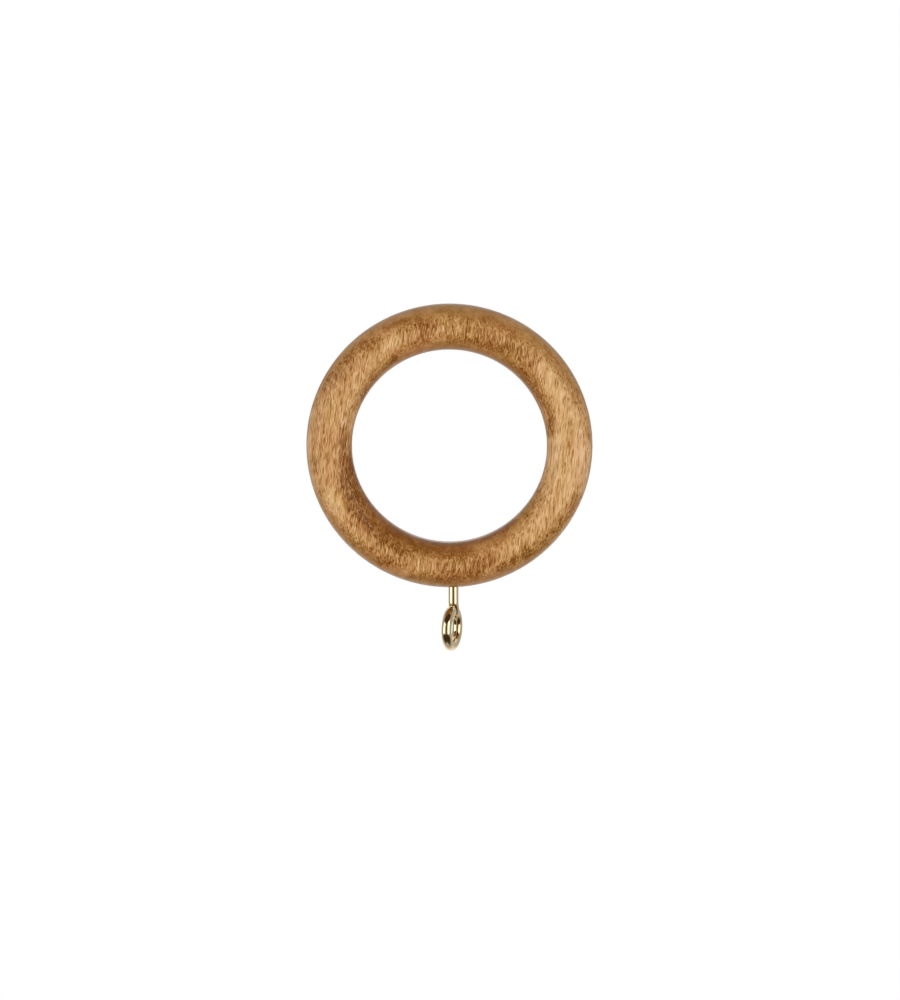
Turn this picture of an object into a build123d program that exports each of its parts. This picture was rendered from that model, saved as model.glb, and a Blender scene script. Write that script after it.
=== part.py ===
from build123d import *
import math
import os

# Wooden curtain ring with a brass screw eye, upright as it hangs on its pole.
# The bore runs along Y with its middle at the origin, and the eye hangs towards -Z.
# Lengths are millimetres and angles are degrees.

# Driving sizes of the turned ring
ring_od = 70.0
section_d = 11.3  # the round that the ring's section is turned to
land_w = 2.4  # flat land in the bore, where the cutters of the two faces meet

# Driving sizes of the screw eye
wire_d = 2.45
eye_bore = 6.3  # clear diameter of the loop
shank_len = 3.5  # straight wire between the wood and the neck
neck_bend = 4.0  # centreline radius of the neck, where the wire runs out into the loop
neck_shift = 1.2  # how far the loop's middle lies in front of the shank
eye_turn = 18.0  # turn of the loop's plane away from the bore's axis
eye_offset = 1.0  # the eye stands this far to one side of the ring's middle
tip_gap = 0.15  # between the loop's cut end and the neck
tip_break = 0.2  # chamfer round the cut end

# Driving sizes of the screw, hidden in the wood: a plain bar at its thread's crests
wood_cover = 2.9  # wood left between the screw's point and the bore
point_len = 1.8
point_d = 0.3  # the point is a little blunt
screw_fit = 0.02  # clearance all round between the screw and its hole

ring_r = (ring_od - section_d) / 2
bore_r = ring_r - math.sqrt((section_d / 2) ** 2 - (land_w / 2) ** 2)
wire_r = wire_d / 2
loop_r = (eye_bore + wire_d) / 2
screw_depth = section_d - wood_cover

# The loop meets the neck's arc from outside, so their centres lie loop_r + neck_bend apart
centres = loop_r + neck_bend
loop_drop = math.sqrt(centres**2 - (neck_shift + neck_bend) ** 2)
loop_centre = (-neck_shift, -shank_len - loop_drop)
join_angle = math.degrees(math.atan2(loop_drop, neck_shift + neck_bend))

# The screw eye has its own frame: it enters the wood at its origin, +Z runs into the wood
entry = Pos(eye_offset, 0, -math.sqrt((ring_od / 2) ** 2 - eye_offset**2))


def pointed_bar(start, fit):
    """The screw's outline over its thread, from start to its point, grown by fit all round."""
    shoulder = (wire_r + fit, screw_depth - point_len)
    point = (point_d / 2 + fit, screw_depth + fit)
    outline = Polyline((0, start), (wire_r + fit, start), shoulder, point, (0, point[1]), close=True)
    return revolve(Plane.XZ * make_face(outline), Axis.Z)


def turned_ring():
    """The wood: a round section with a narrow land, turned about the bore's axis."""
    rounded = ThreePointArc((bore_r, land_w / 2), (ring_od / 2, 0), (bore_r, -land_w / 2))
    land = Line(rounded @ 1, rounded @ 0)
    ring = revolve(make_face(rounded + land), Axis.Y)
    return ring - entry * pointed_bar(-wire_d, screw_fit)


def bent_wire():
    """The wire below the wood: straight shank, neck arc, then the loop round to its cut end."""
    # Angle at the loop's centre between the neck's centre and the outer corner of the cut end,
    # which stops tip_gap short of the neck, by the law of cosines
    rim = loop_r + wire_r
    stop = neck_bend + wire_r + tip_gap
    tip_angle = math.degrees(math.acos((rim**2 + centres**2 - stop**2) / (2 * rim * centres)))
    shank = Line((0, 0), (0, -shank_len))
    neck = CenterArc((neck_bend, -shank_len), neck_bend, 180, join_angle)
    loop = CenterArc(loop_centre, loop_r, join_angle, tip_angle - 360)
    path = Plane.YZ * (shank + neck + loop)
    wire = sweep(Plane(path @ 0, z_dir=path % 0) * Circle(wire_r), path)
    cut_end = wire.faces().sort_by_distance(path @ 1)[0]
    return chamfer(cut_end.edges(), tip_break)


def screw_eye():
    """The brass: pointed screw, shank, neck and loop, all one piece of wire."""
    upright = pointed_bar(0, 0) + bent_wire()
    return entry * Rot(0, 0, -eye_turn) * upright


ring = turned_ring()
eye = screw_eye()

os.makedirs("parts", exist_ok=True)
export_step(ring, "parts/curtain_ring.step")
export_step(eye, "parts/screw_eye.step")
print("bore", round(2 * bore_r, 2), "loop's middle at z", round(entry.position.Z + loop_centre[1], 2))
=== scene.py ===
# %% [markdown]
# # A wooden curtain ring with a brass screw eye
# The object is two pieces: a ring turned from one block of hardwood, and a small eye bent from
# brass wire and screwed into it. The solid model gives their exact sizes and places. Here both get
# a finer surface and the look of the real materials. The ring hangs upright as it does on its pole,
# with the pole's axis along Y, the eye below it, and the viewer on the -Y side.

# %% Load the solid model
import math

import bpy
import numpy as np
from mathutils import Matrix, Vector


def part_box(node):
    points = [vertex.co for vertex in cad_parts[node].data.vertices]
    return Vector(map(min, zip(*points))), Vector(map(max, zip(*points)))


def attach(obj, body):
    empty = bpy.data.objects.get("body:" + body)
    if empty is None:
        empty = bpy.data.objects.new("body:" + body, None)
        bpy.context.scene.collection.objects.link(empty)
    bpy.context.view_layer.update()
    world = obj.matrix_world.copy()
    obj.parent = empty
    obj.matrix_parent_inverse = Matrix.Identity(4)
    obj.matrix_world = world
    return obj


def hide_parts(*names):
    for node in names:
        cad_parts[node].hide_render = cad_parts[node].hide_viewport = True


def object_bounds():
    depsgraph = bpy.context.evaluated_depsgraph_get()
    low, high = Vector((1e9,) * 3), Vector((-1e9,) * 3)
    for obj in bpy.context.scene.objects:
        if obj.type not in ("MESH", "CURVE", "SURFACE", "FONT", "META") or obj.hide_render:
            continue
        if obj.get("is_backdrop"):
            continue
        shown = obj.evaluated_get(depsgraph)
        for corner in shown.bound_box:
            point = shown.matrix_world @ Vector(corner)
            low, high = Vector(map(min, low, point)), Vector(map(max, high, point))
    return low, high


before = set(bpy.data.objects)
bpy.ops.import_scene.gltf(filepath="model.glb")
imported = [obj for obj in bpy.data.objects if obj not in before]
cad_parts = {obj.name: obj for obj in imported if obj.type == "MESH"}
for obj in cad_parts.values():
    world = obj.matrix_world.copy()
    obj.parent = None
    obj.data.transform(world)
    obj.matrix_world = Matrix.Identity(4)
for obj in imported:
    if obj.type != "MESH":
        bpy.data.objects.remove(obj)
cad_low, cad_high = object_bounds()
span = [round(1000 * (high - low), 2) for low, high in zip(cad_low, cad_high)]
print("solid model spans", span, "mm")

# %% [markdown]
# ## Helpers
# Five small helpers serve every piece. Two are for materials: one turns a colour as written on a
# screen into the linear light that a renderer adds up, and one empties a material of the nodes it
# comes with. A third adds one node with its settings and links. The fourth makes a mesh from a
# rectangular grid of points, which is the quickest way to build any tube or ring: each square of
# the grid becomes one face. The last reads the points back, so that values can be worked out for
# each of them.

# %% Colour and node helpers
MM = 0.001


def linear(hex_colour):
    """Screen colour to linear light. Near black it is the value over 12.92, and elsewhere the value
    plus 0.055, over 1.055, to the power 2.4."""
    screen = np.array([int(hex_colour[i : i + 2], 16) for i in (1, 3, 5)]) / 255
    light = np.where(screen <= 0.04045, screen / 12.92, ((screen + 0.055) / 1.055) ** 2.4)
    return (*light.tolist(), 1.0)


def bare_tree(owner):
    """The node tree of a material or a world, without the nodes it comes with."""
    owner.use_nodes = True
    owner.node_tree.nodes.clear()
    return owner.node_tree


def add(tree, kind, inputs=None, **settings):
    """Adds one shader node. settings are its properties. inputs are its sockets' values, or what is
    linked to them: a socket, or a node for that node's first output."""
    node = tree.nodes.new("ShaderNode" + kind)
    for name, value in settings.items():
        setattr(node, name, value)
    for name, value in (inputs or {}).items():
        source = value.outputs[0] if isinstance(value, bpy.types.Node) else value
        if isinstance(source, bpy.types.NodeSocket):
            tree.links.new(source, node.inputs[name])
        else:
            node.inputs[name].default_value = source
    return node


# %% Grid helpers
def grid_piece(name, points, closed_rows=False):
    """A mesh from points[row, column]. Columns always close into rings; rows close too for a torus.
    An open grid ends in a pole, so each end is a fan of triangles round one extra point."""
    rows, columns = points.shape[:2]
    row = np.arange(rows if closed_rows else rows - 1)[:, None]
    column = np.arange(columns)[None, :]
    next_row, next_column = (row + 1) % rows, (column + 1) % columns
    corners = [row * columns + column, row * columns + next_column]
    corners += [next_row * columns + next_column, next_row * columns + column]
    squares = np.stack([np.broadcast_to(each, (len(row), columns)) for each in corners], -1)
    faces = squares.reshape(-1, 4).tolist()
    vertices = points.reshape(-1, 3)
    if not closed_rows:
        ends = [points[0].mean(0), points[-1].mean(0)]
        first, last = len(vertices), len(vertices) + 1
        vertices = np.vstack([vertices, ends])
        around = np.arange(columns)
        after = (around + 1) % columns
        base = (rows - 1) * columns
        start = np.stack([np.full(columns, first), after, around], -1)
        finish = np.stack([np.full(columns, last), base + around, base + after], -1)
        faces += start.tolist() + finish.tolist()
    mesh = bpy.data.meshes.new(name)
    mesh.from_pydata(vertices.tolist(), [], faces)
    mesh.shade_smooth()
    piece = bpy.data.objects.new(name, mesh)
    bpy.context.scene.collection.objects.link(piece)
    print(name, "has", len(vertices), "points and", len(faces), "faces")
    return piece


def points_of(piece):
    """The piece's points, one in each row."""
    flat = np.empty(len(piece.data.vertices) * 3, np.float32)
    piece.data.vertices.foreach_get("co", flat)
    return flat.reshape(-1, 3)


# %% [markdown]
# ## The camera
# The photograph was taken from in front and a little above, with a long lens. The distance and the
# height are fitted to the ring's outer and inner outline, which are both nearly circles, and to the
# way the near and the far wire of the eye overlap.

# %% Camera at the photograph's angle
IMAGE_WIDTH, IMAGE_HEIGHT = 900, 1000
SENSOR = 36.0
FOCAL_PIXELS = 4499  # fitted together with the distance
CAMERA_DISTANCE = 1.1
CAMERA_ELEVATION = math.radians(8.0)
RING_MIDDLE_PIXEL = (449.43, 445.96)

camera_data = bpy.data.cameras.new("camera")
camera_data.sensor_fit = "AUTO"
camera_data.sensor_width = SENSOR
camera_data.lens = FOCAL_PIXELS * SENSOR / IMAGE_HEIGHT
camera_data.clip_end = 100
camera = bpy.data.objects.new("camera", camera_data)
bpy.context.scene.collection.objects.link(camera)
bpy.context.scene.camera = camera
camera.location = (
    0,
    -CAMERA_DISTANCE * math.cos(CAMERA_ELEVATION),
    CAMERA_DISTANCE * math.sin(CAMERA_ELEVATION),
)
# The lens points at the picture's middle, a little to the right of the ring's middle and below it
look_right = math.atan((IMAGE_WIDTH / 2 - RING_MIDDLE_PIXEL[0]) / FOCAL_PIXELS)
look_down = math.atan((IMAGE_HEIGHT / 2 - RING_MIDDLE_PIXEL[1]) / FOCAL_PIXELS)
camera.rotation_euler = (math.pi / 2 - CAMERA_ELEVATION - look_down, 0, -look_right)
downward = math.degrees(CAMERA_ELEVATION + look_down)
print("lens", round(camera_data.lens, 1), "mm, looking", round(downward, 2), "degrees down")

# %% [markdown]
# ## The turned ring
# On a lathe the ring is cut from both faces with a curved tool, so its section is a round with a
# narrow flat land left in the bore where the two cuts meet. A torus primitive has no such land, so
# the ring is a grid of its own: one parameter runs round the ring and the other round the section.

# %% Sizes of the ring
ring_low, ring_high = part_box("curtain_ring")
# The solid's flat facets stand a few micrometres inside the true round, and so does this ring
RING_OUTSIDE = min(ring_high.x, -ring_low.x)
SECTION_RADIUS = (ring_high.y - ring_low.y) / 2
RING_RADIUS = RING_OUTSIDE - SECTION_RADIUS
LAND_WIDTH = 2.4 * MM
BORE_RADIUS = RING_RADIUS - math.sqrt(SECTION_RADIUS**2 - (LAND_WIDTH / 2) ** 2)
for name, radius in [("ring", RING_OUTSIDE), ("section", SECTION_RADIUS), ("bore", BORE_RADIUS)]:
    print(name, round(2 * radius / MM, 2), "mm across")


def ring_surface(around, section):
    """A point's distance from the bore's axis is the ring's radius less the section's radius times
    the cosine of the angle round the section, which starts on the bore's side, and never less than
    the land's. Its place along the bore is minus the section's radius times that angle's sine."""
    radius = np.maximum(RING_RADIUS - SECTION_RADIUS * np.cos(section), BORE_RADIUS)
    depth = -SECTION_RADIUS * np.sin(section)
    return np.stack([radius * np.cos(around), depth + 0 * around, radius * np.sin(around)], -1)


# %% The ring's grid, with lines along both edges of the land
LAND_STEPS, ROUND_STEPS, RING_STEPS = 8, 112, 560
land_edge = math.asin(LAND_WIDTH / 2 / SECTION_RADIUS)
land_angles = np.linspace(-land_edge, land_edge, LAND_STEPS, endpoint=False)
round_angles = np.linspace(land_edge, 2 * math.pi - land_edge, ROUND_STEPS, endpoint=False)
section_angles = np.concatenate([land_angles, round_angles])[None, :]
ring_angles = np.linspace(0, 2 * math.pi, RING_STEPS, endpoint=False)[:, None]
ring = grid_piece("turned_ring", ring_surface(ring_angles, section_angles), closed_rows=True)

# %% [markdown]
# ## The figure of the wood, and painted shade
# A board shows bands where the turned surface cuts through its growth layers. They follow no simple
# rule, so the large ones are listed as they lie on this ring: each is a soft-edged patch that runs
# some way round the ring and some way round its section, lighter or darker than the rest.
# Its edges are frayed along the fibres, and the shader adds the fine grain later.
# Not every band is a growth layer: the dark bands on the inner side low down are painted shade.

# %% Light and dark bands
# from and to, in degrees round the ring anticlockwise from three o'clock; the band's middle at each
# of these two ends and its half width, in degrees round the section from the face towards the
# outside; strength, lighter above zero
# Most bands are the wood's figure; the dark ones on the inner side low down are painted shade
BANDS = [
    # right
    (-20, 44, 8, 12, 42, 0.45),
    (-8, 12, -36, -26, 10, 0.45),
    (8, 22, 60, 60, 14, 0.3),
    (-6, 10, 24, 24, 12, 0.5),
    (0, 14, -6, 6, 9, -0.35),
    (6, 21, -56, -30, 12, -0.7),
    (19, 44, 44, 40, 15, -0.5),
    (22, 33, 30, 22, 11, -0.2),
    (15, 30, 10, 8, 14, 0.3),
    (21, 60, -45, -50, 17, -0.58),
    (9, 17, -12, -16, 6, 0.25),
    (11, 18, 6, 4, 8, -0.25),
    (31, 43, -24, -18, 9, -0.2),
    (37, 47, -22, -24, 14, -0.25),
    (38, 43, 0, 0, 9, -0.25),
    (13, 19, -24, -27, 5, -0.25),
    (39, 54, -28, -35, 8, -0.4),
    # top
    (45, 62, -2, -10, 18, -0.35),
    (50, 79, -8, 4, 15, -0.3),
    (42, 53, 46, 50, 9, -0.2),
    (56, 66, 16, 32, 8, -0.25),
    (57, 92, -24, -22, 13, -0.5),
    (75, 80, 26, 26, 8, -0.35),
    (66, 71, 6, 6, 9, 0.3),
    (84, 89, 16, 14, 8, -0.3),
    (89, 94, 0, 0, 7, 0.35),
    (68, 80, -24, -34, 9, -0.3),
    (86, 99, -38, -40, 9, -0.3),
    (97, 104, -6, -10, 7, -0.5),
    (60, 97, 34, 42, 14, -0.3),
    (60, 122, -54, -52, 17, -0.28),
    (96, 104, 16, 16, 20, -0.6),
    (102, 113, 18, 30, 15, -0.4),
    (114, 119, 30, 32, 10, 0.1),
    (102, 119, 42, 44, 9, -0.45),
    (99, 122, -24, -22, 12, -0.4),
    (114, 127, -2, -12, 16, 0.5),
    (91, 98, 32, 34, 9, 0.3),
    (121, 131, 22, 34, 18, -0.45),
    (124, 139, 6, 2, 14, -0.3),
    (128, 135, -18, -38, 9, -0.3),
    (127, 148, 52, 44, 8, -0.3),
    # left
    (120, 152, -42, -60, 11, -0.7),
    (131, 146, 40, 40, 14, -0.4),
    (139, 147, 14, 14, 10, -0.25),
    (146, 153, 50, 46, 15, -0.4),
    (158, 167, 44, 46, 8, 0.3),
    (140, 149, -6, -10, 7, 0.3),
    (128, 175, -14, -18, 24, 0.25),
    (152, 170, -30, -26, 12, 0.35),
    (149, 170, 24, 8, 10, 0.45),
    (147, 152, 10, 10, 8, -0.25),
    (175, 182, -8, -10, 5, 0.25),
    (167, 175, -9, -14, 5, -0.2),
    (157, 168, -10, -12, 7, -0.25),
    (158, 179, -46, -40, 8, -0.25),
    (162, 170, -63, -63, 7, 0.3),
    (180, 191, 30, 22, 10, 0.3),
    (172, 184, 34, 44, 9, 0.35),
    (158, 172, -56, -50, 14, 0.45),
    (183, 191, 40, 42, 8, -0.35),
    (181, 186, -33, -33, 8, 0.3),
    (190, 197, -22, -32, 9, 0.25),
    (204, 211, 50, 18, 15, 0.35),
    (204, 210, -6, -18, 9, 0.25),
    (210, 215, 30, 28, 8, -0.3),
    (209, 215, -4, -14, 12, -0.45),
    (164, 197, 62, 66, 14, 0.6),
    (168, 186, -34, -36, 11, -0.65),
    (181, 190, 4, 4, 8, -0.3),
    # painted shade on the inner side low on the left
    (184, 208, -50, -30, 24, -0.85),
    (193, 203, -18, -16, 16, -0.4),
    (197, 214, 14, 14, 17, 0.4),
    (191, 220, 30, 26, 12, 0.35),
    # bottom
    # painted shade on the inner side low on the left and along the lower bore, in these two bands
    (205, 250, -34, -32, 26, -0.75),
    (188, 312, -70, -70, 15, -0.6),
    (232, 306, -10, -10, 70, -0.2),
    (230, 249, -8, -6, 13, -0.25),
    (217, 222, -4, -6, 8, 0.35),
    (222, 229, -24, -34, 12, -0.35),
    (236, 250, -33, -36, 8, 0.35),
    (250, 256, 34, 16, 13, 0.35),
    (263, 268, 2, 0, 10, 0.4),
    (273, 279, 12, 6, 10, -0.3),
    (283, 288, 0, -2, 10, -0.35),
    (289, 295, 26, 10, 10, 0.45),
    (294, 299, -4, -14, 9, 0.25),
    (279, 284, -32, -38, 9, 0.3),
    (216, 243, 42, 34, 16, -0.4),
    (240, 250, 50, 42, 9, 0.3),
    (240, 249, 22, 10, 13, -0.35),
    (250, 262, 2, 2, 13, 0.2),
    (250, 284, -42, -36, 16, -0.6),
    (252, 283, 36, 30, 14, -0.5),
    (266, 275, 2, 2, 14, -0.3),
    (279, 294, 6, -6, 16, -0.55),
    (290, 310, 28, 30, 15, -0.4),
    (291, 340, -8, -4, 20, 0.4),
    (306, 316, 8, 2, 11, -0.45),
    (315, 321, -16, -28, 10, 0.4),
    (325, 331, -36, -58, 12, 0.35),
    (304, 330, 30, 28, 10, -0.35),
    (304, 326, 50, 46, 13, -0.33),
    (326, 341, 46, 42, 11, -0.33),
    (304, 334, -60, -56, 16, -0.3),
    (319, 329, -6, -10, 11, 0.3),
    (329, 342, -5, -7, 9, -0.4),
    (331, 341, 15, 14, 10, 0.6),
    (332, 341, -6, -10, 9, -0.25),
    (341, 349, -52, -56, 7, -0.35),
    (349, 358, -63, -64, 6, 0.35),
    (338, 348, 36, 36, 8, -0.25),
    (340, 362, 52, 54, 17, 0.6),
    (340, 368, -58, -60, 16, 0.35),
    (335, 366, -42, -42, 12, 0.35),
    (336, 347, 28, 20, 7, 0.3),
    (319, 327, 6, -2, 7, 0.25),
    (351, 358, -12, -20, 9, -0.35),
    (338, 352, -16, -24, 9, 0.25),
    # back
    (10, 60, 140, 160, 30, -0.5),
    (50, 100, -160, -140, 30, -0.5),
    (95, 140, 160, 175, 22, 0.35),
    (130, 190, 140, 130, 26, -0.5),
    (180, 230, -150, -165, 28, -0.45),
    (225, 262, 165, 150, 26, 0.3),
    (255, 310, -135, -150, 32, -0.6),
    (300, 350, 150, 140, 24, -0.4),
    (345, 380, -175, -165, 28, 0.4),
]
print(len(BANDS), "bands")

# %% Fall-off and fraying of the bands
FIBRE_LEAN = math.radians(6.0)
END_FADE = 3.0  # degrees round the ring over which a band ends
FRAY = 0.6 * MM
# Two waves that don't repeat together: radians a millimetre across the fibres and along the bore,
# and where the wave starts
FRAY_WAVES = [(7.1, 2.3, 0.0), (11.9, -4.1, 2.0)]


def smooth(low, high, value):
    """0 below low, 1 above high, and between them three times the square less twice the cube of the
    share of the way from low to high."""
    share = np.clip((value - low) / (high - low), 0, 1)
    return 3 * share**2 - 2 * share**3


def figure_and_shade_at(points):
    """Sum over the bands of strength times two fall-offs: a smooth step at each end along the ring,
    and across it the exponential of minus the fourth power of the distance from the band's middle
    over its width. Each fibre is shifted along itself by up to FRAY, a sum of waves across them."""
    across_fibres = points[:, 0] * math.cos(FIBRE_LEAN) - points[:, 2] * math.sin(FIBRE_LEAN)
    shift = np.zeros(len(points))
    for across_rate, depth_rate, start in FRAY_WAVES:
        shift += np.sin((across_rate * across_fibres + depth_rate * points[:, 1]) / MM + start)
    shift *= FRAY / len(FRAY_WAVES)
    x = points[:, 0] + shift * math.sin(FIBRE_LEAN)
    z = points[:, 2] + shift * math.cos(FIBRE_LEAN)
    around = np.degrees(np.arctan2(z, x))
    across = np.degrees(np.arctan2(np.hypot(x, z) - RING_RADIUS, -points[:, 1]))
    figure_and_shade = np.zeros(len(points))
    for start, end, start_middle, end_middle, width, strength in BANDS:
        half = (end - start) / 2
        along = (around - (start + half) + 180) % 360 - 180
        end_fade = smooth(-END_FADE / 2, END_FADE / 2, half - np.abs(along))
        middle = start_middle + (end_middle - start_middle) * np.clip(along / half + 1, 0, 2) / 2
        side = (across - middle + 180) % 360 - 180
        figure_and_shade += strength * end_fade * np.exp(-((side / width) ** 4))
    return figure_and_shade


# %% Where the surface cuts across the fibres
def end_grain_at(points):
    """Squared cosine of the angle between the surface's normal and the fibres: 0 where the fibres
    run along the surface, 1 where it is cut square across them. The normal of a ring turned round Y
    points from the section's middle line to the point."""
    distance = np.hypot(points[:, 0], points[:, 2])
    outward = (distance - RING_RADIUS) / SECTION_RADIUS
    upward = points[:, 0] * math.sin(FIBRE_LEAN) + points[:, 2] * math.cos(FIBRE_LEAN)
    return (outward * upward / distance) ** 2


# Each point gets the sum of the bands, painted shade included, and its end grain
ring_points = points_of(ring).astype(float)
for name, values in [("figure_and_shade", figure_and_shade_at(ring_points)), ("end_grain", end_grain_at(ring_points))]:
    attribute = ring.data.attributes.new(name, "FLOAT", "POINT")
    attribute.data.foreach_set("value", values.astype(np.float32))
    print(name, "runs from", round(float(values.min()), 2), "to", round(float(values.max()), 2))

# %% [markdown]
# ## Stained hardwood under satin varnish
# A fine-grained hardwood such as beech takes a golden brown stain unevenly: it soaks into the open
# cells and into end grain, which turn dark, and leaves the dense layers pale. The eye reads that as
# bands broken up by short vertical dashes, some darker and some lighter than the wood round them.
# Where the surface cuts across the fibres the dashes fade, because there they are only dots too
# small to see. The varnish is a thin satin film. Seen square on it hardly mirrors, so the wood's
# colour stays clear, and only at a grazing angle does it mirror the pale room and turn the outline
# grey.

# %% Fibres, dashes and clouds, on the wood's own axes
wood = bpy.data.materials.new("stained_hardwood_satin_varnish")
tree = bare_tree(wood)
position = add(tree, "TexCoord").outputs["Object"]
turned = {"Vector": position, "Rotation": (0, -FIBRE_LEAN, 0), "Scale": (1 / MM,) * 3}
upright = add(tree, "Mapping", turned)
# name, kind of texture, and its cells' width and length along the fibres in millimetres. Real
# vessels are under a tenth of a millimetre wide, which no pixel could show, so a dash stands for a
# group of them.
GRAIN = [
    ("clouds", "TexNoise", 1.6, 5.0),
    ("fibres", "TexNoise", 0.25, 4.0),
    ("dashes", "TexVoronoi", 0.2, 2.6),
    ("stipple", "TexVoronoi", 0.22, 1.3),
    ("hues", "TexNoise", 6.0, 9.0),
]
PATTERN_OFFSET = 17.3  # so that no two patterns have their cells in the same places
grain = {}
for index, (name, kind, width, length) in enumerate(GRAIN):
    scale = (1 / width, 1 / width, 1 / length)
    place = (index * PATTERN_OFFSET,) * 3
    cells = add(tree, "Mapping", {"Vector": upright, "Scale": scale, "Location": place})
    texture = add(tree, kind, {"Vector": cells, "Scale": 1})
    if kind == "TexVoronoi":
        # Every cell has a colour of its own, drawn at random: its red is an even spread from 0 to 1
        texture = add(tree, "SeparateColor", {0: texture.outputs["Color"]})
    grain[name] = texture
    print(name, "cells", width, "by", length, "mm")

# %% Fibres and clouds as values above and below zero
LONG_GRAIN_POWER = 2.2  # how fast the grain fades towards end grain
# The bands, the wood's figure with painted shade among them, read back from the points
figure_and_shade_value = add(tree, "Attribute", attribute_name="figure_and_shade").outputs["Fac"]
end_value = add(tree, "Attribute", attribute_name="end_grain").outputs["Fac"]
long_grain = add(tree, "Math", {0: 1.0, 1: end_value}, operation="SUBTRACT")
long_value = add(tree, "Math", {0: long_grain, 1: LONG_GRAIN_POWER}, operation="POWER")
level = {}
for name in ("clouds", "fibres", "stipple"):
    level[name] = add(tree, "Math", {0: grain[name], 1: 0.5}, operation="SUBTRACT")
fibre_value = add(tree, "Math", {0: level["fibres"], 1: long_value}, operation="MULTIPLY")
print("grain fades towards end grain with the power", LONG_GRAIN_POWER)

# %% Dashes and dots
# Only the lowest and the highest cells become dashes. Each pair gives the cells between which a
# dash fades in or out. A Map Range reads from its sockets 1 to 2 and gives from 3 to 4.
DARK_CELLS = (0.12, 0.22)
LIGHT_CELLS = (0.82, 0.95)
LIGHT_DASH = 0.5
# Dots of open pores show most in dark bands, which took the most stain, and in bands of painted shade
DARK_FIGURE_AND_SHADE, LIGHT_FIGURE_AND_SHADE = -0.7, 0.5
DOTS_IN_LIGHT = 0.25
dark_range = {1: DARK_CELLS[0], 2: DARK_CELLS[1], 3: -1.0, 4: 0.0}
light_range = {1: LIGHT_CELLS[0], 2: LIGHT_CELLS[1], 3: 0.0, 4: LIGHT_DASH}
dot_range = {1: DARK_FIGURE_AND_SHADE, 2: LIGHT_FIGURE_AND_SHADE, 3: 1.0, 4: DOTS_IN_LIGHT}
dark_dash = add(tree, "MapRange", {0: grain["dashes"], **dark_range})
light_dash = add(tree, "MapRange", {0: grain["dashes"], **light_range})
both_dashes = add(tree, "Math", {0: dark_dash, 1: light_dash}, operation="ADD")
dash_value = add(tree, "Math", {0: both_dashes, 1: long_value}, operation="MULTIPLY")
in_dark = add(tree, "MapRange", {0: figure_and_shade_value, **dot_range})
dot_strength = add(tree, "Math", {0: in_dark, 1: long_value}, operation="MULTIPLY")
dot_value = add(tree, "Math", {0: level["stipple"], 1: dot_strength}, operation="MULTIPLY")
print("dark dashes fill", DARK_CELLS[0], "to", DARK_CELLS[1], "of the cells")

# %% One open vessel, a fine dark line down the face a little to the right of the top
# Millimetres on the wood's own axes. Each pair is where the line starts to fade and where it ends
VESSEL_ACROSS, VESSEL_HEIGHT = 1.05, 29.3
VESSEL_HALF_WIDTH = (0.07, 0.2)
VESSEL_HALF_LENGTH = (2.6, 3.6)
wood_axes = add(tree, "SeparateXYZ", {0: upright}).outputs
limits = [("X", VESSEL_ACROSS, VESSEL_HALF_WIDTH), ("Z", VESSEL_HEIGHT, VESSEL_HALF_LENGTH)]
inside = []
for axis, middle, (fades, gone) in limits:
    from_middle = add(tree, "Math", {0: wood_axes[axis], 1: middle}, operation="SUBTRACT")
    away = add(tree, "Math", {0: from_middle}, operation="ABSOLUTE")
    inside.append(add(tree, "MapRange", {0: away, 1: fades, 2: gone, 3: 1.0, 4: 0.0}))
front = add(tree, "Math", {0: wood_axes["Y"], 1: 0.0}, operation="LESS_THAN")
line = add(tree, "Math", {0: inside[0], 1: inside[1]}, operation="MULTIPLY")
vessel = add(tree, "Math", {0: line, 1: front}, operation="MULTIPLY")
print("vessel", 2 * VESSEL_HALF_LENGTH[0], "mm long, at", VESSEL_ACROSS, "mm across the fibres")

# %% Tone: how pale the wood is, from 0 to 1
TONE_START = 0.565
# Each ingredient and its weight in the tone
WEIGHTS = [
    # the bands: the wood's figure and painted shade
    (figure_and_shade_value, 0.36),
    (level["clouds"], 0.45),
    (fibre_value, 0.56),
    (dash_value, 0.34),
    (dot_value, 0.63),
    (vessel, -0.4),
    (end_value, -0.1),
]
tone = TONE_START
for ingredient, weight in WEIGHTS:
    tone = add(tree, "Math", {0: ingredient, 1: weight, 2: tone}, operation="MULTIPLY_ADD")
print("tone is", TONE_START, "and", len(WEIGHTS), "ingredients")

# %% Colour and varnish
TONES = [(0.0, "#6a3a0a"), (0.25, "#8a5724"), (0.5, "#ae7d48"), (0.75, "#c99d69"), (1.0, "#e0b98e")]
ramp = add(tree, "ValToRGB", {0: tone})
for place, colour in TONES[1:-1]:
    ramp.color_ramp.elements.new(place)
for element, (place, colour) in zip(ramp.color_ramp.elements, TONES):
    element.position, element.color = place, linear(colour)
# Some places take the stain a little redder and others a little more olive. 0.5 is no change
REDDER, MORE_OLIVE = 0.4965, 0.5055
NOISE_LOW, NOISE_HIGH = 0.3, 0.7  # nearly all of a noise texture's values lie between these
hue_range = {1: NOISE_LOW, 2: NOISE_HIGH, 3: REDDER, 4: MORE_OLIVE}
hue = add(tree, "MapRange", {0: grain["hues"], **hue_range})
stained = add(tree, "HueSaturation", {"Hue": hue, "Color": ramp})
# The grain stands out a little under the film
DASH_RELIEF, RELIEF_STRENGTH, RELIEF_DEPTH = 0.5, 0.2, 0.05 * MM
relief_parts = {0: dash_value, 1: DASH_RELIEF, 2: fibre_value}
relief = add(tree, "Math", relief_parts, operation="MULTIPLY_ADD")
bump = add(tree, "Bump", {"Height": relief, "Strength": RELIEF_STRENGTH, "Distance": RELIEF_DEPTH})
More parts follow.
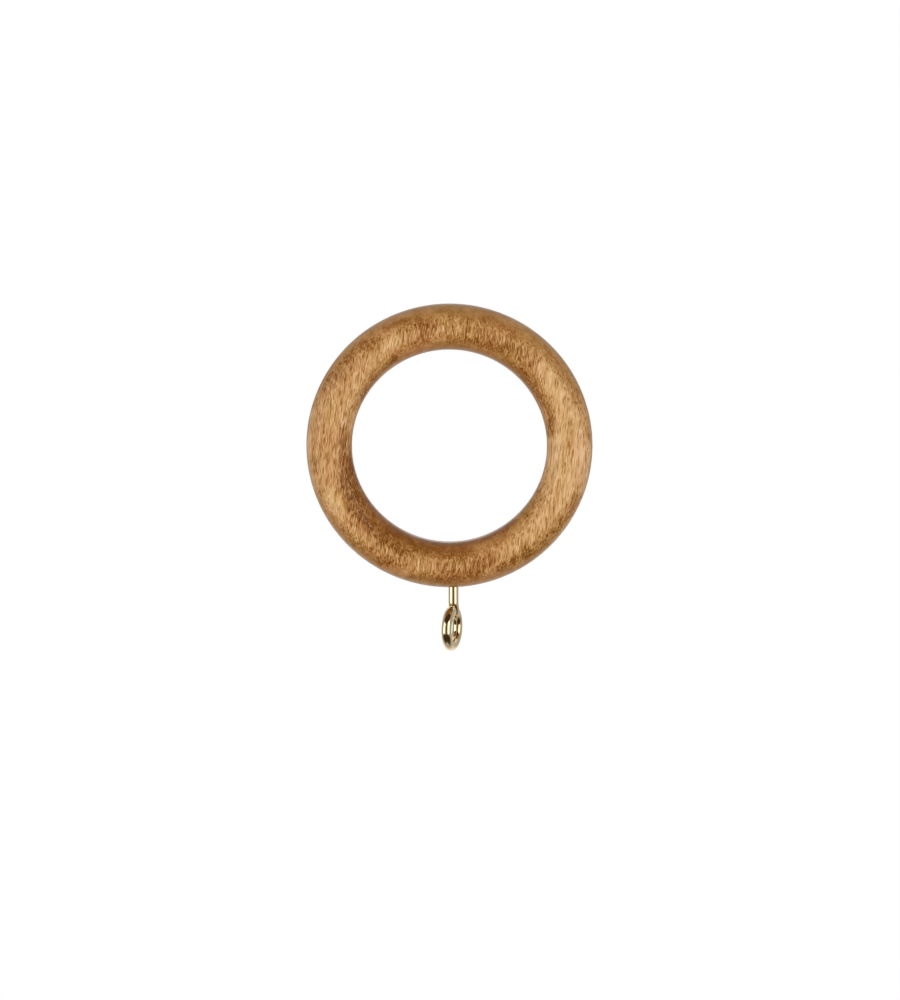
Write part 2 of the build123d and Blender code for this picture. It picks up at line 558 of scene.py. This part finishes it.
# Bare stained wood is matt, with a tenth of the usual gloss. The film's IOR is low for a varnish,
# so that it mirrors about 1% square on, as a thin satin film does on this wood.
colour_and_relief = {"Base Color": stained, "Normal": bump}
bare_wood = {"Roughness": 0.5, "IOR": 1.5, "Specular IOR Level": 0.05}
film = {"Coat Weight": 1.0, "Coat Roughness": 0.2, "Coat IOR": 1.2}
surface = add(tree, "BsdfPrincipled", {**colour_and_relief, **bare_wood, **film})
add(tree, "OutputMaterial", {"Surface": surface})
ring.data.materials.append(wood)
print(wood.name, "has", len(tree.nodes), "nodes")

# %% [markdown]
# ## The screw eye
# The eye is one length of drawn brass wire. Its upper end is a threaded point that is hidden in the
# wood. Below the wood come a short straight shank, a neck that bends out to one side, and a loop
# that comes back round until its cut end almost touches the neck. A circle carried along that line
# makes it all, and the thread is the same circle with a radius that rises and falls in a helix.

# %% Line of the wire, as in the solid model
WIRE_DIAMETER = 2.45 * MM
EYE_BORE = 6.3 * MM
SHANK_LENGTH = 3.5 * MM
NECK_BEND = 4.0 * MM
NECK_SHIFT = 1.2 * MM
EYE_TURN = math.radians(18.0)
EYE_OFFSET = 1.0 * MM
TIP_GAP = 0.15 * MM
TIP_BREAK = 0.2 * MM
SCREW_DEPTH = 8.4 * MM
POINT_LENGTH = 1.8 * MM
POINT_RADIUS = 0.15 * MM
FACET_ALLOWANCE = 0.002 * MM  # keeps the round wire inside the solid's flat-sided one
WIRE_RADIUS = WIRE_DIAMETER / 2 - FACET_ALLOWANCE
LOOP_RADIUS = (EYE_BORE + WIRE_DIAMETER) / 2
ENTRY_HEIGHT = -math.sqrt(RING_OUTSIDE**2 - EYE_OFFSET**2)

centres = LOOP_RADIUS + NECK_BEND
loop_drop = math.sqrt(centres**2 - (NECK_SHIFT + NECK_BEND) ** 2)
join_angle = math.atan2(loop_drop, NECK_SHIFT + NECK_BEND)
# The cut end stops short of the neck, by the law of cosines
rim = LOOP_RADIUS + WIRE_RADIUS
stop = NECK_BEND + WIRE_RADIUS + TIP_GAP
tip_angle = math.acos((rim**2 + centres**2 - stop**2) / (2 * rim * centres))
neck_length = NECK_BEND * join_angle
loop_length = LOOP_RADIUS * (2 * math.pi - tip_angle)
wire_length = SCREW_DEPTH + SHANK_LENGTH + neck_length + loop_length
tip_place = math.degrees(join_angle + tip_angle)
print("wire", round(wire_length / MM, 2), "mm, cut end at", round(tip_place, 1), "degrees")


# %% The wire's line as a function of the distance along it
def wire_line(distance):
    """Place and direction at a distance from the screw's point, in the plane of the loop: straight
    down, then round the neck's centre, then the other way round the loop's centre. On an arc, the
    angle turned is the distance along it over its radius, and the place is the arc's centre plus
    the radius times the angle's cosine and sine."""
    below = distance - SCREW_DEPTH
    on_neck = np.clip(below - SHANK_LENGTH, 0, neck_length)
    on_loop = np.clip(below - SHANK_LENGTH - neck_length, 0, None)
    turn = on_neck / NECK_BEND
    bend = join_angle - on_loop / LOOP_RADIUS
    side = NECK_BEND * (1 - np.cos(turn))
    height = -np.minimum(below, SHANK_LENGTH) - NECK_BEND * np.sin(turn)
    looped = on_loop > 0
    side = np.where(looped, -NECK_SHIFT + LOOP_RADIUS * np.cos(bend), side)
    height = np.where(looped, -SHANK_LENGTH - loop_drop + LOOP_RADIUS * np.sin(bend), height)
    direction_side = np.where(looped, np.sin(bend), np.sin(turn))
    direction_height = np.where(looped, -np.cos(bend), -np.cos(turn))
    return side, height, direction_side, direction_height


# %% Radius along and round the wire
THREAD_LENGTH = 6.6 * MM
THREAD_PITCH = 1.1 * MM
THREAD_ROOT = 0.88 * MM  # radius at the bottom of the groove
THREAD_CREST = 0.16 * MM / THREAD_PITCH  # crest and flank as shares of a pitch
THREAD_FLANK = 0.17 * MM / THREAD_PITCH


def wire_radius(distance, angle):
    """Wire radius, less the thread's groove, the screw's taper to its point and the cut end's
    chamfer. The groove repeats once a pitch along the screw and once a turn round it, so it winds
    as a right-hand helix."""
    turn = (distance / THREAD_PITCH + angle / (2 * math.pi)) % 1.0
    from_crest = np.abs(turn - 0.5)
    tooth = np.clip((from_crest - THREAD_CREST / 2) / THREAD_FLANK, 0, 1)
    run_out = np.clip((THREAD_LENGTH - distance) / THREAD_PITCH, 0, 1)
    groove = (WIRE_RADIUS - THREAD_ROOT) * tooth * run_out
    taper = POINT_RADIUS + (WIRE_RADIUS - POINT_RADIUS) * np.clip(distance / POINT_LENGTH, 0, 1)
    chamfer = np.clip(TIP_BREAK - (wire_length - distance), 0, None)
    return taper - groove * taper / WIRE_RADIUS - chamfer


print("thread", round(THREAD_LENGTH / THREAD_PITCH, 1), "turns of", round(THREAD_PITCH / MM, 2), "mm")

# %% The wire's grid, closer where its form changes fast
WIRE_SIDES = 72
THREAD_STEP = 0.045 * MM
WIRE_ROWS, CHAMFER_ROWS = 330, 3
SHARP_EDGE = math.radians(30)  # the cut end's edges and the thread's stay crisp
WOOD_MARGIN = 0.4 * MM  # the wider rows start this far inside the wood
shank_start = SCREW_DEPTH - WOOD_MARGIN
chamfer_start = wire_length - TIP_BREAK
screw_steps = np.arange(0, shank_start, THREAD_STEP)
wire_steps = np.linspace(shank_start, chamfer_start, WIRE_ROWS)
end_steps = np.linspace(chamfer_start, wire_length, CHAMFER_ROWS + 1)[1:]
distance = np.concatenate([screw_steps, wire_steps, end_steps])[:, None]
angle = np.linspace(0, 2 * math.pi, WIRE_SIDES, endpoint=False)[None, :]
side, height, direction_side, direction_height = wire_line(distance)
radius = wire_radius(distance, angle)
# The circle's own axes: one across the loop's plane and one in that plane, square to the wire
across = radius * np.cos(angle)
inward = radius * np.sin(angle)
plane_side = side - inward * direction_height
plane_height = height + inward * direction_side
eye_x = EYE_OFFSET + plane_side * math.sin(EYE_TURN) + across * math.cos(EYE_TURN)
eye_y = plane_side * math.cos(EYE_TURN) - across * math.sin(EYE_TURN)
eye_z = ENTRY_HEIGHT + plane_height
eye = grid_piece("wire_screw_eye", np.stack([eye_x, eye_y, eye_z], -1))
eye.data.set_sharp_from_angle(angle=SHARP_EDGE)

# %% [markdown]
# ## Polished brass
# Brass wire comes from the drawing die smooth and bright, and a quick polish leaves it almost a
# mirror. What the eye sees is mostly the room: white where it mirrors a lamp, brown where it
# mirrors the ring, dark where it mirrors an unlit part. The polish isn't even, so the mirror is a
# little hazier in some places than in others.

# %% Brass material
PATCHES_PER_MM = 0.9  # patches of haze are about 1.1 mm long
CLEAR, HAZY = 0.07, 0.14
brass = bpy.data.materials.new("polished_brass_wire")
tree = bare_tree(brass)
position = add(tree, "TexCoord").outputs["Object"]
patches = {"Vector": position, "Scale": PATCHES_PER_MM / MM, "Detail": 2}
haze_range = {1: NOISE_LOW, 2: NOISE_HIGH, 3: CLEAR, 4: HAZY}
haze = add(tree, "MapRange", {0: add(tree, "TexNoise", patches), **haze_range})
polished = {"Base Color": linear("#e7d1a7"), "Metallic": 1.0, "Roughness": haze}
add(tree, "OutputMaterial", {"Surface": add(tree, "BsdfPrincipled", polished)})
eye.data.materials.append(brass)
print(brass.name, "has", len(tree.nodes), "nodes")

# %% Hand the pieces to the frame
PIECES = [(ring, "curtain_ring", "stained_wood"), (eye, "screw_eye", "brass_wire")]
for piece, node, slot_name in PIECES:
    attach(piece, "root")
    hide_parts(node)

# %% [markdown]
# ## Studio
# The ring hangs over a plain pale floor in a white room, between two large soft lamps on the left
# and on the right, with a weak fill in front and another behind. The room's white is for the camera
# and for mirrors; what it adds to the light on the object is kept lower, so that the lamps still
# give the round section its shape.

# %% White room
AMBIENT = 0.385
WHITE = (1, 1, 1, 1)


def seen_rays(tree):
    """1 for rays from the camera, off a mirror or through glass, 0 for the light on a surface."""
    path = add(tree, "LightPath").outputs
    seen = path["Is Camera Ray"]
    for kind in ("Is Glossy Ray", "Is Transmission Ray"):
        seen = add(tree, "Math", {0: seen, 1: path[kind]}, operation="MAXIMUM")
    return seen


world = bpy.data.worlds.new("white_room")
bpy.context.scene.world = world
tree = bare_tree(world)
strength = add(tree, "MapRange", {0: seen_rays(tree), 3: AMBIENT, 4: 1.0})
background = add(tree, "Background", {"Color": WHITE, "Strength": strength})
add(tree, "OutputWorld", {"Surface": background})
print("room lights the object at", AMBIENT, "of the white it shows")

# %% Pale floor, well below the hanging ring
FLOOR_HEIGHT = -1.0
FLOOR_SIZE = 30.0
FLOOR_GREY = 0.55
corner_signs = [(-1, -1), (1, -1), (1, 1), (-1, 1)]
corners = [(x * FLOOR_SIZE, y * FLOOR_SIZE, FLOOR_HEIGHT) for x, y in corner_signs]
floor_mesh = bpy.data.meshes.new("floor")
floor_mesh.from_pydata(corners, [], [(0, 1, 2, 3)])
floor = bpy.data.objects.new("floor", floor_mesh)
bpy.context.scene.collection.objects.link(floor)
paper = bpy.data.materials.new("white_paper")
tree = bare_tree(paper)
# The camera and mirrors see what the paper returns of the room's light plus a glow, together white
glow = add(tree, "Math", {0: seen_rays(tree), 1: 1 - FLOOR_GREY * AMBIENT}, operation="MULTIPLY")
lit = add(tree, "BsdfDiffuse", {"Color": (FLOOR_GREY,) * 3 + (1,)})
white = add(tree, "Emission", {"Color": WHITE, "Strength": glow})
add(tree, "OutputMaterial", {"Surface": add(tree, "AddShader", {0: lit, 1: white})})
floor_mesh.materials.append(paper)
floor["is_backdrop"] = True
print("floor", -FLOOR_HEIGHT, "m below the ring's middle")

# %% Two soft lamps
# name, degrees round from the camera (left below zero) of its two edges, watts per square metre
LAMPS = [("left_softbox", -76, -37, 6.2), ("right_softbox", 28, 66, 6.2)]
LAMP_DISTANCE = 0.6
LAMP_LOW, LAMP_HIGH = math.radians(-21), math.radians(27)
for name, edge_a, edge_b, output in LAMPS:
    lamp = bpy.data.lights.new(name, "AREA")
    lamp.shape = "RECTANGLE"
    lamp.size = 2 * LAMP_DISTANCE * math.tan(math.radians(edge_b - edge_a) / 2)
    lamp.size_y = LAMP_DISTANCE * (math.tan(LAMP_HIGH) - math.tan(LAMP_LOW))
    lamp.energy = output * lamp.size * lamp.size_y
    holder = bpy.data.objects.new(name, lamp)
    bpy.context.scene.collection.objects.link(holder)
    turn = math.radians(edge_a + edge_b) / 2
    lamp_height = LAMP_DISTANCE * (math.tan(LAMP_HIGH) + math.tan(LAMP_LOW)) / 2
    holder.location = (LAMP_DISTANCE * math.sin(turn), -LAMP_DISTANCE * math.cos(turn), lamp_height)
    holder.rotation_euler = (math.pi / 2, 0, turn)
    holder.visible_camera = False
    print(name, "radiance", round(output / math.pi, 2), "power", round(lamp.energy, 2), "W")

# %% Weak fills from the camera's side and from behind, which the polish doesn't mirror
# name, place in metres, watts
FILLS = [("front_fill", (0, -0.9, -0.1), 3.9), ("back_fill", (0, 0.9, 0.1), 3.2)]
FILL_SIZE = 0.5
for name, place, power in FILLS:
    fill = bpy.data.lights.new(name, "AREA")
    fill.shape, fill.size, fill.energy = "SQUARE", FILL_SIZE, power
    holder = bpy.data.objects.new(name, fill)
    bpy.context.scene.collection.objects.link(holder)
    holder.location = place
    holder.rotation_euler = (-holder.location).to_track_quat("-Z", "Y").to_euler()
    holder.visible_camera = holder.visible_glossy = False
    print(name, power, "W at", place)

# %% [markdown]
# ## What the polish mirrors
# A mirror shows whatever stands round it, so polished metal needs a room to look like metal. A real
# studio is not white all over. On the camera's side its walls are a mid grey, with a dark gap where
# the camera stands, and it is almost black overhead and low down, but for mid grey straight down.
# Behind the set it is mid grey at the sides and white above and below. A shell round the object
# carries those greys. Only mirror-like reflections see it, so it neither lights the object nor
# stands in any camera's way.

# %% Shell round the object
SHELL_RADIUS = 0.95
SHELL_ROWS, SHELL_COLUMNS = 90, 180
SHELL_TOP = 89  # degrees; the grid's two poles close what is left
up = np.radians(np.linspace(-SHELL_TOP, SHELL_TOP, SHELL_ROWS))[:, None]
bearing = np.radians(np.linspace(-180, 180, SHELL_COLUMNS, endpoint=False))[None, :]
to_right = np.cos(up) * np.sin(bearing)
to_back = -np.cos(up) * np.cos(bearing)
directions = np.stack([to_right, to_back, np.sin(up) + 0 * bearing], -1)
shell = grid_piece("room_shell", directions * SHELL_RADIUS)
shell_x, shell_y, shell_z = points_of(shell).T / SHELL_RADIUS
azimuth = np.degrees(np.arctan2(shell_x, -shell_y))
elevation = np.degrees(np.arcsin(np.clip(shell_z, -1, 1)))
from_camera = np.degrees(np.arccos(np.clip(-shell_y, -1, 1)))
print("shell stands", SHELL_RADIUS, "m round the object")

# %% Greys of the room
CAMERA_SIDE, CAMERA_GAP, NO_LIGHT = 0.42, 0.13, 0.05
BEHIND_BESIDE, BEHIND_ABOVE, STRAIGHT_DOWN = 0.5, 1.0, 0.5
# Where one grey turns into the next, in degrees sideways from the camera, up, down or away from it
GAP_EDGE = (13, 20)
OVERHEAD_EDGE = (24, 34)
LOW_EDGE = (21, 28)
BEHIND_EDGE = (75, 130)
DOWN_EDGE, DOWN_END = (60, 75), (90, 120)
UPRIGHT_EDGE = (0.3, 0.9)  # share of the way off the bore's axis that is up or down, not sideways
front_grey = CAMERA_SIDE + (CAMERA_GAP - CAMERA_SIDE) * (1 - smooth(*GAP_EDGE, np.abs(azimuth)))
unlit = np.maximum(smooth(*OVERHEAD_EDGE, elevation), smooth(*LOW_EDGE, -elevation))
front_grey = front_grey + (NO_LIGHT - front_grey) * unlit
off_axis = np.maximum(np.hypot(shell_x, shell_z), 1e-6)  # never a division by nothing
upright_part = smooth(*UPRIGHT_EDGE, np.abs(shell_z) / off_axis)
back_grey = BEHIND_BESIDE + (BEHIND_ABOVE - BEHIND_BESIDE) * upright_part
grey = front_grey + (back_grey - front_grey) * smooth(*BEHIND_EDGE, from_camera)
below = smooth(*DOWN_EDGE, -elevation) * (1 - smooth(*DOWN_END, from_camera))
grey = grey + (STRAIGHT_DOWN - grey) * below
print("room greys from", round(float(grey.min()), 2), "to", round(float(grey.max()), 2))

# %% Warmth of the dark parts, as the light in them has come off wood and brass
WARM_EDGE = (0.05, 0.35)
GREEN_LOSS, BLUE_LOSS = 0.3, 0.6
warmth = 1 - smooth(*WARM_EDGE, grey)
green, blue = grey * (1 - GREEN_LOSS * warmth), grey * (1 - BLUE_LOSS * warmth)
tint = np.stack([grey, green, blue, np.ones_like(grey)], -1).astype(np.float32)
attribute = shell.data.attributes.new("tint", "FLOAT_COLOR", "POINT")
attribute.data.foreach_set("color", tint.ravel())
walls = bpy.data.materials.new("studio_walls")
tree = bare_tree(walls)
wall_tint = add(tree, "Attribute", attribute_name="tint").outputs["Color"]
glow = add(tree, "Emission", {"Color": wall_tint, "Strength": 1.0})
add(tree, "OutputMaterial", {"Surface": glow})
shell.data.materials.append(walls)
shell.visible_camera = shell.visible_diffuse = False
shell.visible_transmission = shell.visible_shadow = False
shell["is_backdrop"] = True
print(walls.name, "warm over", round(100 * float((warmth > 0.5).mean())), "% of their points")

# %% Picture settings and sizes
bpy.context.scene.view_settings.view_transform = "Standard"
visual_low, visual_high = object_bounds()
grown = [round(1000 * v, 3) for v in (*(cad_low - visual_low), *(visual_high - cad_high))]
print("visual model beyond the solid model, mm:", grown)
